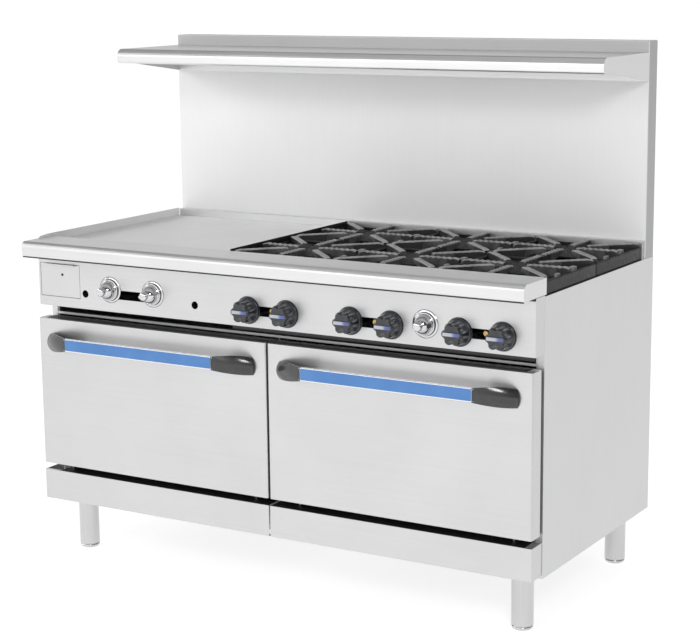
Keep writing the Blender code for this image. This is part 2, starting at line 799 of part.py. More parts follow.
def make_burner_box():
    """A lattice of plates that carries the six top grates."""
    left, right = GRATE_X0 + 0.0005, GRATE_X0 + 3 * GRATE_PITCH_X - 0.0015
    front, back = GRATE_Y0, GRATE_Y0 + 2 * GRATE_PITCH_Y
    low, high = 0.815, GRATE_BOTTOM - GAP
    whole = box((left, front, low), (right, back, high))
    windows = []
    for column in range(3):
        for row in range(2):
            x0 = GRATE_X0 + column * GRATE_PITCH_X + 0.0035
            y0 = GRATE_Y0 + row * GRATE_PITCH_Y + 0.003
            x1 = min(x0 + GRATE_PITCH_X - 0.006, right - 0.003)
            windows.append(box((x0, y0, low - 0.01), (x1, y0 + GRATE_PITCH_Y - 0.006, high + 0.01)))
    part("burner_box", "black_enamel", [whole], windows)


def grate_centre(column, row):
    return (
        GRATE_X0 + (column + 0.5) * GRATE_PITCH_X,
        GRATE_Y0 + (row + 0.5) * GRATE_PITCH_Y,
    )


def grate_rib(angle, start, stop, low_start):
    """A finger from the grate's wall towards its middle, at an angle in degrees, about the origin."""
    a = math.radians(angle)
    along, across = (math.cos(a), math.sin(a)), (-math.sin(a), math.cos(a))
    low = low_start - GRATE_BOTTOM
    top = GRATE_TOP - GRATE_BOTTOM
    shoulder = GRATE_WALL_TOP - GRATE_BOTTOM
    side = [(start, low), (stop, top - 0.014), (stop, top), (stop + 0.055, top), (start, shoulder)]
    sections = []
    for half in (-0.0045, 0.0045):
        sections.append(
            [(r * along[0] + half * across[0], r * along[1] + half * across[1], z) for r, z in side]
        )
    return rings(sections)


def make_grates():
    """Six cast grates: a square wall with four corner ribs and four mid-side ribs round an open middle."""
    half_x, half_y = GRATE_PITCH_X / 2 - 0.0006, GRATE_PITCH_Y / 2 - 0.0006
    height = GRATE_WALL_TOP - GRATE_BOTTOM
    inner_x, inner_y = half_x - GRATE_WALL, half_y - GRATE_WALL
    pattern = add_object("grate_pattern", box((-half_x, -half_y, 0), (half_x, half_y, height)))
    helper(
        "grate_pattern.hollow",
        box((-inner_x, -inner_y, -0.01), (inner_x, inner_y, height + 0.01)),
        "DIFFERENCE",
        pattern,
    )
    corner = math.hypot(inner_x, inner_y) + 0.004
    for index in range(4):
        helper(
            f"grate_pattern.corner{index}",
            grate_rib(45 + 90 * index, corner, 0.064, GRATE_BOTTOM + 0.008),
            "UNION",
            pattern,
        )
        helper(
            f"grate_pattern.middle{index}",
            grate_rib(90 * index, inner_x + 0.004, 0.031, GRATE_BOTTOM + 0.008),
            "UNION",
            pattern,
        )
    bpy.context.view_layer.update()
    evaluated = pattern.evaluated_get(bpy.context.evaluated_depsgraph_get())
    mesh = bpy.data.meshes.new_from_object(evaluated)
    pattern.hide_render = True
    pattern.display_type = "WIRE"
    mesh.materials.clear()
    mesh.materials.append(MATERIALS["cast_iron"])
    for column, across in enumerate(("left", "middle", "right")):
        for row, along in enumerate(("front", "rear")):
            grate = bpy.data.objects.new(f"grate_{across}_{along}", mesh)
            grate.location = (*grate_centre(column, row), GRATE_BOTTOM)
            bpy.context.scene.collection.objects.link(grate)


BURNER_HEAD = (
    (0.016, -0.035),
    (0.020, 0.010),
    (0.050, 0.022),
    (0.052, 0.034),
    (0.040, 0.044),
    (0.012, 0.048),
)


def make_open_burners():
    """Three castings, each a front and a rear burner head on one mixing tube."""
    for column, name in enumerate(("left", "middle", "right")):
        x, front = grate_centre(column, 0)
        _, rear = grate_centre(column, 1)
        tube = 0.795
        shapes = [rod((x, FACE + 0.06, tube), (x, rear + 0.02, tube), 0.014)]
        for y in (front, rear):
            shapes.append(turned(BURNER_HEAD, (x, y, 0.808), (0, 0, 1), 20))
        part(f"open_burner_{name}", "cast_iron", shapes)


def make_rear_trim():
    """An angle that closes the gap between the cooking top and the back guard."""
    half = WIDTH / 2 - 0.0005
    back = GUARD_Y - GAP
    low = SIDE_TOP + GAP
    outline = [
        (TRIM_Y, low),
        (back, low),
        (back, low + SHEET),
        (TRIM_Y + SHEET, low + SHEET),
        (TRIM_Y + SHEET, TRIM_TOP - SHEET),
        (back, TRIM_TOP - SHEET),
        (back, TRIM_TOP),
        (TRIM_Y, TRIM_TOP),
    ]
    start = -WIDTH / 2 + 0.0040
    part("rear_trim", "stainless", [prism(outline, "X", start, half)])


# ---- Back guard and overshelf ----
def make_backguard():
    """A tall flat duct: flue gas rises inside it and leaves by a slot in its top."""
    half = WIDTH / 2
    front, back = GUARD_Y, WALL - 0.004
    low = SIDE_TOP + GAP
    whole = box((-half, front, low), (half, back, HEIGHT))
    duct = box((-half + SHEET, front + SHEET, low - 0.01), (half - SHEET, back - SHEET, HEIGHT - SHEET))
    slot = box((-half + 0.08, front + 0.016, HEIGHT - 0.01), (half - 0.08, back - 0.008, HEIGHT + 0.01))
    part("backguard", "stainless", [whole], [duct, slot])


def make_overshelf():
    """A shelf with a rolled front edge, sloped end gussets and a flange against the guard."""
    half = WIDTH / 2 - 0.0005
    back = GUARD_Y - GAP
    bottom = SHELF_TOP - SHELF_DROP

    def front(inset):
        upper = arc((SHELF_FRONT + SHELF_NOSE, SHELF_TOP - SHELF_NOSE), SHELF_NOSE - inset, 90, 180, 6)
        lower = arc((SHELF_FRONT + SHELF_HEM, bottom + SHELF_HEM), SHELF_HEM - inset, 180, 270, 4)
        return upper + lower

    low = SHELF_TOP - GUSSET_BACK_DROP
    outer = [(back, SHELF_TOP), *front(0), (SHELF_FRONT + 0.035, bottom)]
    inner = [
        (SHELF_FRONT + 0.035, bottom + SHEET),
        *reversed(front(SHEET)),
        (back - SHEET, SHELF_TOP - SHEET),
        (back - SHEET, low),
        (back, low),
    ]
    shapes = [prism(outer + inner, "X", -half, half)]
    gusset = [(back, SHELF_TOP), *front(0), (SHELF_FRONT + 0.05, bottom), (back, low)]
    for _, side in SIDES:
        shapes.append(prism(gusset, "X", *span(side * half, side * (half - SHEET))))
    part("overshelf", "stainless", shapes)


# ---- The whole range ----
def main():
    for old in list(bpy.data.objects):
        bpy.data.objects.remove(old, do_unlink=True)
    MATERIALS.update(make_materials())

    make_side_panels()
    make_back_panel()
    make_base_frame()
    make_front_frame()
    make_rear_trim()
    make_backguard()
    make_overshelf()
    for name, side in SIDES:
        make_kick_panel(f"kick_panel_{name}", side)
        make_oven_liner(f"oven_liner_{name}", side)
        make_oven_rack(f"oven_rack_{name}", side)
        make_oven_burner(f"oven_burner_{name}", side)
        make_door(name, side)
        for end, y in zip(("front", "rear"), LEG_Y):
            make_leg(f"leg_{name}_{end}", side * LEG_X, y)
            make_foot(f"foot_{name}_{end}", side * LEG_X, y)

    make_control_panel()
    make_manifold()
    burner = 0
    for x in KNOB_PAIR_X:
        for side in (-1, 1):
            burner += 1
            make_burner_knob(f"burner_knob_{burner}", x + side * KNOB_HALF_SPACING, KNOB_Z)
    for (name, _), x in zip(SIDES, GRIDDLE_KNOB_X):
        make_domed_knob(f"griddle_knob_{name}", x, GRIDDLE_KNOB_Z)
    make_domed_knob("thermostat_knob", THERMOSTAT_X, THERMOSTAT_Z)

    make_grease_drawer()
    make_crumb_tray()
    make_landing_ledge()
    make_griddle_plate()
    make_griddle_splash()
    make_griddle_burner()
    make_burner_box()
    make_grates()
    make_open_burners()


main()
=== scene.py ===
"""Looks of a commercial gas range: surfaces, fine shapes, floor, light and camera."""

import math

import bmesh
import bpy
from mathutils import Matrix, Vector


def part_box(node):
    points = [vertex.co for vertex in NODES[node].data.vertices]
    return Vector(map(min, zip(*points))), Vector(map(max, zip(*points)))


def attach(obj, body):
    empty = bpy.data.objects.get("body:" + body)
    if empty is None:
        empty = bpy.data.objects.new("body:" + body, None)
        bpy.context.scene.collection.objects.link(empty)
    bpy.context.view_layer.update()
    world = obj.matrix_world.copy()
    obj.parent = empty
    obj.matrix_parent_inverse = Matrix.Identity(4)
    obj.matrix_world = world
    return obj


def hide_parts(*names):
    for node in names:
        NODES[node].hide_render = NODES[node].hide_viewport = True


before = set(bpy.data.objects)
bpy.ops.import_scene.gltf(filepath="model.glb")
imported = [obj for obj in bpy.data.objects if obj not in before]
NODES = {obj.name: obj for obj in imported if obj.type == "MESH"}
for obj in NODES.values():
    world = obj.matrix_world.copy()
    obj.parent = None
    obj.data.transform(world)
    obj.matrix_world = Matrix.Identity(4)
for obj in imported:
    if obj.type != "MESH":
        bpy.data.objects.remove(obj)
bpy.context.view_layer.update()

# ---- Places taken from the frame ----
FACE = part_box("side_panel_left")[0].y
PANEL_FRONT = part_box("control_panel")[0].y
HALF_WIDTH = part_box("landing_ledge")[1].x
SIDES = (("left", -1), ("right", 1))
ROWS = ("front", "rear")
COLUMNS = ("left", "middle", "right")


# ---- Materials ----
class Nodes:
    """A material's node tree, with short calls for the nodes used here."""

    def __init__(self, name):
        self.material = bpy.data.materials.new(name)
        self.material.use_nodes = True
        self.tree = self.material.node_tree
        self.shader = self.tree.nodes["Principled BSDF"]

    def add(self, kind, **values):
        node = self.tree.nodes.new(kind)
        for key, value in values.items():
            setattr(node, key, value)
        return node

    def link(self, source, target):
        self.tree.links.new(source, target)

    def coordinates(self, scale=(1, 1, 1), rotation=(0, 0, 0)):
        source = self.add("ShaderNodeTexCoord")
        mapping = self.add("ShaderNodeMapping")
        mapping.inputs["Scale"].default_value = scale
        mapping.inputs["Rotation"].default_value = rotation
        self.link(source.outputs["Object"], mapping.inputs["Vector"])
        return mapping.outputs["Vector"]

    def noise(self, vector, scale, detail=3.0, roughness=0.55):
        node = self.add("ShaderNodeTexNoise")
        node.inputs["Scale"].default_value = scale
        node.inputs["Detail"].default_value = detail
        node.inputs["Roughness"].default_value = roughness
        self.link(vector, node.inputs["Vector"])
        return node.outputs["Fac"]

    def spread(self, value, low, high, from_low=0.3, from_high=0.7):
        node = self.add("ShaderNodeMapRange")
        node.inputs["From Min"].default_value = from_low
        node.inputs["From Max"].default_value = from_high
        node.inputs["To Min"].default_value = low
        node.inputs["To Max"].default_value = high
        self.link(value, node.inputs["Value"])
        return node.outputs["Result"]

    def ramp(self, value, stops):
        node = self.add("ShaderNodeValToRGB")
        elements = node.color_ramp.elements
        while len(elements) < len(stops):
            elements.new(0.5)
        for element, (place, colour) in zip(elements, stops):
            element.position = place
            element.color = (*colour, 1)
        self.link(value, node.inputs["Fac"])
        return node.outputs["Color"]

    def math(self, operation, first, second):
        node = self.add("ShaderNodeMath", operation=operation)
        for socket, value in zip(node.inputs, (first, second)):
            if isinstance(value, (int, float)):
                socket.default_value = value
            else:
                self.link(value, socket)
        return node.outputs["Value"]

    def bump(self, height, distance, strength=1.0):
        node = self.add("ShaderNodeBump")
        node.inputs["Distance"].default_value = distance
        node.inputs["Strength"].default_value = strength
        self.link(height, node.inputs["Height"])
        self.link(node.outputs["Normal"], self.shader.inputs["Normal"])

    def set(self, **values):
        for key, value in values.items():
            self.shader.inputs[key.replace("_", " ")].default_value = value
        return self

    def colour(self, socket):
        self.link(socket, self.shader.inputs["Base Color"])

    def roughness(self, socket):
        self.link(socket, self.shader.inputs["Roughness"])


def brushed(name, dark, light, rough, grain, metal=1.0, grain_depth=0.00002):
    """Sheet steel with a fine grain along one axis and a faint cloudiness."""
    n = Nodes(name)
    n.set(Metallic=metal)
    stretch = {"X": (3, 900, 900), "Y": (900, 3, 900), "Z": (900, 900, 3)}[grain]
    lines = n.noise(n.coordinates(stretch), 1.0, 2.0)
    clouds = n.noise(n.coordinates(), 3.5, 4.0)
    mixed = n.math("ADD", n.math("MULTIPLY", lines, 0.45), n.math("MULTIPLY", clouds, 0.55))
    n.colour(n.ramp(mixed, [(0.35, dark), (0.65, light)]))
    n.roughness(n.spread(mixed, rough[0], rough[1]))
    n.bump(lines, grain_depth, 0.6)
    return n.material


def cast_iron(name, dark, light, rough):
    """Seasoned cast iron: a sandy skin and uneven blackness."""
    n = Nodes(name)
    n.set(Metallic=0.0, Specular_IOR_Level=0.32)
    sand = n.noise(n.coordinates(), 420.0, 4.0, 0.7)
    patches = n.noise(n.coordinates(), 30.0, 3.0)
    n.colour(n.ramp(patches, [(0.32, dark), (0.72, light)]))
    n.roughness(n.spread(n.noise(n.coordinates(), 60.0), rough[0], rough[1]))
    n.bump(n.math("ADD", sand, n.math("MULTIPLY", patches, 1.5)), 0.0006, 0.7)
    return n.material


def enamel(name, colour, speck):
    """Vitreous enamel: near-black with fine pale specks and a slight orange peel."""
    n = Nodes(name)
    n.set(Metallic=0.0, Coat_Weight=0.4, Coat_Roughness=0.12)
    specks = n.noise(n.coordinates(), 900.0, 1.0, 0.4)
    n.colour(n.ramp(specks, [(0.66, colour), (0.74, speck)]))
    n.roughness(n.spread(n.noise(n.coordinates(), 24.0), 0.22, 0.36))
    n.bump(n.noise(n.coordinates(), 160.0, 2.0), 0.0002, 0.5)
    return n.material


def galvanised(name):
    """Zinc-coated sheet with its spangle."""
    n = Nodes(name)
    n.set(Metallic=1.0)
    cells = n.add("ShaderNodeTexVoronoi")
    cells.inputs["Scale"].default_value = 70.0
    n.link(n.coordinates(), cells.inputs["Vector"])
    tone = n.add("ShaderNodeSeparateColor")
    n.link(cells.outputs["Color"], tone.inputs["Color"])
    n.colour(n.ramp(tone.outputs["Red"], [(0.0, (0.40, 0.41, 0.43)), (1.0, (0.60, 0.61, 0.62))]))
    n.roughness(n.spread(tone.outputs["Green"], 0.34, 0.52, 0.0, 1.0))
    return n.material


def moulded(name, colour, rough, texture=0.00004):
    """Phenolic plastic: glossy, with a very fine moulded skin."""
    n = Nodes(name)
    n.set(Metallic=0.0, Specular_IOR_Level=0.6)
    clouds = n.noise(n.coordinates(), 45.0, 3.0)
    light = tuple(c * 1.35 + 0.004 for c in colour)
    n.colour(n.ramp(clouds, [(0.3, colour), (0.7, light)]))
    n.roughness(n.spread(clouds, rough[0], rough[1]))
    n.bump(n.noise(n.coordinates(), 700.0, 2.0), texture, 0.6)
    return n.material


def polished(name, colour, rough):
    """Bright metal with faint handling haze."""
    n = Nodes(name)
    n.set(Metallic=1.0)
    haze = n.noise(n.coordinates(), 55.0, 4.0)
    light = tuple(min(1.0, c * 1.08) for c in colour)
    n.colour(n.ramp(haze, [(0.3, colour), (0.7, light)]))
    n.roughness(n.spread(haze, rough[0], rough[1]))
    return n.material


def ground_steel(name):
    """A griddle plate: ground along its depth, with the faint bloom of use."""
    n = Nodes(name)
    n.set(Metallic=0.45)
    lines = n.noise(n.coordinates((700, 4, 700)), 1.0, 2.0)
    bloom = n.noise(n.coordinates(), 6.0, 5.0, 0.6)
    mixed = n.math("ADD", n.math("MULTIPLY", lines, 0.4), n.math("MULTIPLY", bloom, 0.6))
    n.colour(n.ramp(mixed, [(0.34, (0.76, 0.76, 0.76)), (0.66, (0.85, 0.85, 0.85))]))
    n.roughness(n.spread(mixed, 0.30, 0.44))
    n.bump(lines, 0.00003, 0.6)
    return n.material


def strip_blue(name):
    """The satin film on the handle's face: blue, with a faint cloudy change of tone."""
    n = Nodes(name)
    n.set(Metallic=0.0, Specular_IOR_Level=0.4)
    clouds = n.noise(n.coordinates(), 14.0, 3.0)
    n.colour(n.ramp(clouds, [(0.3, (0.066, 0.190, 0.46)), (0.7, (0.084, 0.222, 0.51))]))
    n.roughness(n.spread(clouds, 0.34, 0.44))
    n.bump(n.noise(n.coordinates(), 500.0, 2.0), 0.00003, 0.5)
    return n.material


def knob_mark(name):
    """The printed bar across a knob: white at one end, blue at the other."""
    n = Nodes(name)
    n.set(Metallic=0.0)
    place = n.add("ShaderNodeSeparateXYZ")
    n.link(n.coordinates(), place.inputs["Vector"])
    fade = n.spread(place.outputs["X"], 0.0, 1.0, -0.026, 0.026)
    stops = [
        (0.0, (0.44, 0.46, 0.50)),
        (0.50, (0.40, 0.42, 0.50)),
        (0.66, (0.11, 0.14, 0.36)),
        (1.0, (0.06, 0.08, 0.24)),
    ]
    n.colour(n.ramp(fade, stops))
    n.roughness(n.spread(n.noise(n.coordinates(), 300.0), 0.25, 0.38))
    return n.material


M = {
    "front": brushed("brushed_front", (0.575, 0.575, 0.58), (0.63, 0.63, 0.635), (0.34, 0.42), "X"),
    # The backguard gets a paler, mostly diffuse copy of the brushed steel so that it reads bright:
    # painted light.
    "guard": brushed("brushed_guard_painted_light", (0.78, 0.78, 0.785), (0.83, 0.83, 0.835), (0.50, 0.58), "Z", 0.30),
    # The side panels get their own copy of the brushed steel, its tone and metalness set to show their
    # shade: painted shade.
    "side": brushed("brushed_side_painted_shade", (0.62, 0.62, 0.625), (0.68, 0.68, 0.685), (0.36, 0.46), "Z", 0.85),
    "top": brushed(
        "brushed_top", (0.66, 0.66, 0.665), (0.72, 0.72, 0.725), (0.32, 0.38), "X", 0.85, 0.000006
    ),
    # A darker copy of the brushed steel for the backguard's hems: painted shade.
    "fold_shade": brushed("brushed_fold_shade", (0.42, 0.42, 0.425), (0.47, 0.47, 0.475), (0.42, 0.50), "X", 0.55),
    # The griddle splash gets a near-white, almost unmetallic copy of the brushed steel so that it reads
    # bright: painted light.
    "splash": brushed(
        "brushed_splash_painted_light", (0.88, 0.88, 0.885), (0.93, 0.93, 0.935), (0.48, 0.56), "Y", 0.05
    ),
    "tube": brushed("brushed_tube", (0.52, 0.52, 0.525), (0.62, 0.62, 0.625), (0.16, 0.24), "Z"),
    "galvanised": galvanised("galvanised_sheet"),
    "griddle": ground_steel("ground_griddle"),
    "iron": cast_iron("cast_iron_black", (0.005, 0.005, 0.005), (0.014, 0.014, 0.015), (0.45, 0.62)),
    # A darker, rougher copy of the cast iron for the burners and the burner box under the grates.
    "under_grates": cast_iron("cast_iron_under_grates", (0.002, 0.002, 0.002), (0.005, 0.005, 0.005), (0.72, 0.86)),
    # A lighter copy of the cast iron for the ribs' sides near each grate's centre: painted light.
    "iron_lit_rib": cast_iron("cast_iron_lit_rib", (0.040, 0.040, 0.041), (0.110, 0.110, 0.114), (0.40, 0.55)),
    # A copy between the black and the lit one, for the ribs' outer sides and the walls' outer faces: a
    # half-lit tone, painted light.
    "iron_half_lit": cast_iron("cast_iron_half_lit", (0.022, 0.022, 0.023), (0.036, 0.036, 0.038), (0.45, 0.60)),
    # A pale copy for the grates' top faces and pads: partly wear, and partly painted sheen where the tops
    # catch the light.
    "iron_wear_and_sheen": cast_iron("cast_iron_wear_and_sheen", (0.22, 0.22, 0.225), (0.42, 0.42, 0.425), (0.36, 0.50)),
    "enamel": enamel("black_enamel", (0.006, 0.006, 0.007), (0.10, 0.10, 0.12)),
    # Flat black used only for painted shade: the strips on the kick and door tops, under the ledge, and
    # the rings at the chrome knobs.
    "black": moulded("black_painted_shade", (0.003, 0.003, 0.003), (0.42, 0.55)),
    "plastic": moulded("black_phenolic", (0.020, 0.022, 0.026), (0.12, 0.19)),
    "cap": moulded("grey_black_cap", (0.026, 0.026, 0.027), (0.13, 0.19)),
    "chrome": polished("bright_chrome", (0.60, 0.60, 0.61), (0.035, 0.07)),
    "wire": polished("plated_wire", (0.66, 0.66, 0.67), (0.14, 0.24)),
    "brass": polished("dull_brass", (0.50, 0.34, 0.14), (0.30, 0.45)),
    "pipe": polished("blackened_pipe", (0.030, 0.029, 0.028), (0.40, 0.55)),
    "aluminium": polished("satin_aluminium", (0.90, 0.90, 0.905), (0.25, 0.34)),
    "blue": strip_blue("handle_blue"),
    "mark": knob_mark("knob_mark"),
    "gasket": moulded("woven_gasket", (0.020, 0.020, 0.022), (0.6, 0.8), 0.0006),
}

# ---- Shapes: each is (points, faces), in metres ----


def join(*shapes):
    points, faces = [], []
    for more_points, more_faces in shapes:
        start = len(points)
        points.extend(more_points)
        faces.extend([tuple(i + start for i in face) for face in more_faces])
    return points, faces


def moved(shape, matrix):
    points, faces = shape
    return [tuple(matrix @ Vector(p)) for p in points], faces


def box(low, high):
    points = [(x, y, z) for x in (low[0], high[0]) for y in (low[1], high[1]) for z in (low[2], high[2])]
    faces = [(0, 1, 3, 2), (4, 6, 7, 5), (0, 4, 5, 1), (2, 3, 7, 6), (0, 2, 6, 4), (1, 5, 7, 3)]
    return points, faces


def loft(sections, closed=False):
    """A skin over loops of equal length. Its ends are capped, or joined to each other if closed."""
    count = len(sections[0])
    points = [p for section in sections for p in section]
    faces = []
    pairs = len(sections) if closed else len(sections) - 1
    for s in range(pairs):
        after = (s + 1) % len(sections)
        for i in range(count):
            j = (i + 1) % count
            faces.append((s * count + i, s * count + j, after * count + j, after * count + i))
    if not closed:
        last = (len(sections) - 1) * count
        faces += [tuple(range(count - 1, -1, -1)), tuple(range(last, last + count))]
    return points, faces


def extrude(outline, axis, low, high):
    place = {
        "X": lambda p, t: (t, p[0], p[1]),
        "Y": lambda p, t: (p[0], t, p[1]),
        "Z": lambda p, t: (p[0], p[1], t),
    }[axis]
    return loft([[place(p, low) for p in outline], [place(p, high) for p in outline]])


def turned(profile, segments=48, lobes=None):
    """Turned about +Z from (radius, height) points; lobes(angle, height, radius) may change a radius."""
    loops = []
    for radius, height in profile:
        loop = []
        for i in range(segments):
            a = 2 * math.pi * i / segments
            r = lobes(a, height, radius) if lobes else radius
            loop.append((r * math.cos(a), r * math.sin(a), height))
        loops.append(loop)
    return loft(loops)


def rounded(corners, radius, steps=4):
    """An outline whose corners are turned into arcs."""
    outline = []
    count = len(corners)
    for i, corner in enumerate(corners):
        p = Vector(corner)
        back = (Vector(corners[i - 1]) - p).normalized()
        ahead = (Vector(corners[(i + 1) % count]) - p).normalized()
        half = back.angle(ahead) / 2
        reach = radius / math.tan(half)
        middle = p + (back + ahead).normalized() * radius / math.sin(half)
        first, last = p + back * reach - middle, p + ahead * reach - middle
        turn = first.angle_signed(last)
        for step in range(steps + 1):
            outline.append(tuple(middle + Matrix.Rotation(-turn * step / steps, 2) @ first))
    return outline


def rectangle(low_x, low_y, high_x, high_y):
    return [(low_x, low_y), (high_x, low_y), (high_x, high_y), (low_x, high_y)]


def facing(centre, direction):
    """Places a shape turned about +Z at centre, pointing along direction."""
    turn = Vector((0, 0, 1)).rotation_difference(Vector(direction))
    return Matrix.Translation(centre) @ turn.to_matrix().to_4x4()


# ---- Pieces ----
def finish_mesh(mesh, sharp=35):
    shape = bmesh.new()
    shape.from_mesh(mesh)
    bmesh.ops.recalc_face_normals(shape, faces=shape.faces)
    shape.to_mesh(mesh)
    shape.free()
    mesh.shade_smooth()
    mesh.set_sharp_from_angle(angle=math.radians(sharp))


def mesh_of(name, shape, *materials):
    mesh = bpy.data.meshes.new(name)
    mesh.from_pydata(*[list(shape[0]), [], list(shape[1])])
    for material in materials:
        mesh.materials.append(M[material])
    finish_mesh(mesh)
    return mesh


def soften(obj, width, segments=2):
    """Rounds every hard edge a little."""
    bevel = obj.modifiers.new("edges", "BEVEL")
    bevel.width = width
    bevel.segments = segments
    bevel.limit_method = "ANGLE"
    bevel.angle_limit = math.radians(32)
    bevel.harden_normals = True
    return obj


def piece(name, mesh, body, stands_for=(), place=None, edge=None):
    obj = bpy.data.objects.new(name, mesh)
    bpy.context.scene.collection.objects.link(obj)
    if place is not None:
        obj.matrix_world = place
    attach(obj, body)
    if stands_for:
        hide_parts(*stands_for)
    if edge:
        soften(obj, edge)
    return obj


def wire(name, runs, radius, body, material, stands_for=(), closed=False):
    """Round wire along one or more runs of points."""
    curve = bpy.data.curves.new(name, "CURVE")
    curve.dimensions = "3D"
    curve.bevel_depth = radius
    curve.bevel_resolution = 3
    curve.use_fill_caps = True
    for run in runs:
        spline = curve.splines.new("POLY")
        spline.points.add(len(run) - 1)
        for point, place in zip(spline.points, run):
            point.co = (*place, 1)
        spline.use_cyclic_u = closed
    curve.materials.append(M[material])
    obj = bpy.data.objects.new(name, curve)
    bpy.context.scene.collection.objects.link(obj)
    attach(obj, body)
    if stands_for:
        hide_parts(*stands_for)
    return obj


def dress(node, material, edge=None):
    """Gives a carried node its surface, welds its mesh in a modifier and rounds its edges."""
    obj = NODES[node]
    obj.data.materials.clear()
    obj.data.materials.append(M[material])
    weld = obj.modifiers.new("weld", "WELD")
    weld.merge_threshold = 0.00001
    flatten = obj.modifiers.new("flatten", "DECIMATE")
    flatten.decimate_type = "DISSOLVE"
    flatten.angle_limit = math.radians(0.5)
    if edge:
        soften(obj, edge)
    return obj


# ---- Sheet metal and castings carried from the frame ----
DRESS = {
    "side_panel_left": ("side", 0.0010),
    "side_panel_right": ("side", 0.0010),
    "back_panel": ("galvanised", None),
    "base_frame": ("galvanised", 0.0008),
    "front_frame": ("front", 0.0005),
    "oven_liner_left": ("enamel", 0.0007),
    "oven_liner_right": ("enamel", 0.0007),
    "control_panel": ("front", 0.0008),
    "landing_ledge": ("top", 0.0007),
    "griddle_plate": ("griddle", 0.0008),
    "griddle_splash": ("splash", 0.0010),
    "griddle_burner": ("iron", 0.0005),
    "burner_box": ("under_grates", 0.0006),
    "rear_trim": ("top", 0.0007),
    "backguard": ("guard", 0.0010),
    "overshelf": ("top", 0.0006),
    "kick_panel_left": ("front", 0.0008),
    "kick_panel_right": ("front", 0.0008),
    "open_burner_left": ("under_grates", 0.0006),
    "open_burner_middle": ("under_grates", 0.0006),
    "open_burner_right": ("under_grates", 0.0006),
    "oven_burner_left": ("iron", 0.0006),
    "oven_burner_right": ("iron", 0.0006),
    "gas_manifold": ("pipe", 0.0005),
    "grease_drawer": ("front", 0.0006),
    "crumb_tray": ("enamel", 0.0006),
    "door_shell_left": ("front", 0.0008),
    "door_shell_right": ("front", 0.0008),
    "door_liner_left": ("galvanised", 0.0008),
    "door_liner_right": ("galvanised", 0.0008),
}


def dress_nodes():
    for node, (material, edge) in DRESS.items():
        dress(node, material, edge)


# ---- Grates ----
def grate_mesh(low, high):
    """One cast grate about its own centre: a square wall, a dished bowl and eight notched ribs."""
    half_x, half_y = (high.x - low.x) / 2, (high.y - low.y) / 2
    top = high.z - low.z
    wall_top = top - 0.013
    thick = 0.0075

    def square(inset, z, radius):
        x, y = half_x - inset, half_y - inset
        return [(*p, z) for p in rounded(rectangle(-x, -y, x, y), radius, 4)]

    wall = loft(
        [
            square(0.0000, 0.0, 0.006),
            square(0.0004, wall_top - 0.0025, 0.006),
            square(0.0024, wall_top, 0.005),
            square(thick - 0.0015, wall_top, 0.0035),
            square(thick, wall_top - 0.002, 0.003),
            square(thick + 0.0015, 0.0, 0.003),
        ],
        closed=True,
    )

    def bowl_loop(radius, z, share):
        """A loop between the square wall (share 1) and a circle (share 0)."""
        outer = square(thick - 0.001, z, 0.012)
        loop = []
        for x, y, _ in outer:
            a = math.atan2(y, x)
            cx, cy = radius * math.cos(a), radius * math.sin(a)
            loop.append((cx + (x - cx) * share, cy + (y - cy) * share, z))
        return loop

    rim, depth, skin = 0.066, 0.006, 0.0035
    bowl = loft(
        [
            bowl_loop(rim, wall_top - 0.006, 1.0),
            bowl_loop(rim, wall_top - 0.013, 0.55),
            bowl_loop(rim, depth + 0.003, 0.12),
            bowl_loop(rim, depth, 0.0),
            bowl_loop(rim, depth - skin, 0.0),
            bowl_loop(rim, depth + 0.003 - skin, 0.12),
            bowl_loop(rim, wall_top - 0.013 - skin, 0.55),
            bowl_loop(rim, wall_top - 0.006 - skin, 1.0),
        ],
        closed=True,
    )

    def rib(angle, start, stop, half, teeth):
        """A rib along +X turned by angle: a bevelled bar, its top notched where teeth is above zero."""
        sections = []
        steps = max(6, int((start - stop) / 0.0080))
        for i in range(steps + 1):
            t = i / steps
            r = start + (stop - start) * t
            rise = min(1.0, 0.75 + t * (start - stop) / 0.05)
            notch = teeth if i % 2 and 0.1 < t < 0.97 else 0.0
            crest = wall_top - 0.001 + (top - wall_top + 0.001) * rise - notch
            fall = max(0.0, 1 - (1 - t) * (start - stop) / 0.010)
            crest -= 0.002 * fall**2
            low_edge = 0.005 + (crest - 0.017) * min(1.0, t * 1.15)
            side = half * (1 - 40 * notch)
            sections.append(
                [
                    (r, -half * 1.15, low_edge),
                    (r, half * 1.15, low_edge),
                    (r, half, crest - 0.0025),
                    (r, side * 0.78, crest),
                    (r, -side * 0.78, crest),
                    (r, -half, crest - 0.0025),
                ]
            )
        return moved(loft(sections), Matrix.Rotation(math.radians(angle), 4, "Z"))

    corner = math.hypot(half_x - thick, half_y - thick) - 0.001
    ribs = [rib(45 + 90 * i, corner, 0.060, 0.0085, 0.0006) for i in range(4)]
    ribs += [rib(90 * i, half_x - thick + 0.002, 0.032, 0.0078, 0.0022) for i in range(4)]

    mesh = mesh_of("grate_casting", join(wall, bowl, *ribs), "iron", "iron_wear_and_sheen", "iron_half_lit", "iron_lit_rib")
    rib_start = len(wall[1]) + len(bowl[1])
    # Faces take painted light by where they sit: rib sides near the centre get the lit copy, and outer
    # rib sides and the wall's outer faces get the half-lit copy. The tops get the pale iron of wear and
    # painted sheen.
    for face in mesh.polygons:
        centre, normal = face.center, face.normal
        if normal.z > 0.55 and centre.z > wall_top + 0.003:
            face.material_index = 1
        elif face.index >= rib_start:
            face.material_index = 3 if math.hypot(centre.x, centre.y) < 0.115 else 2
        elif max(abs(centre.x) - half_x, abs(centre.y) - half_y) > -0.0025:
            face.material_index = 2
    return mesh


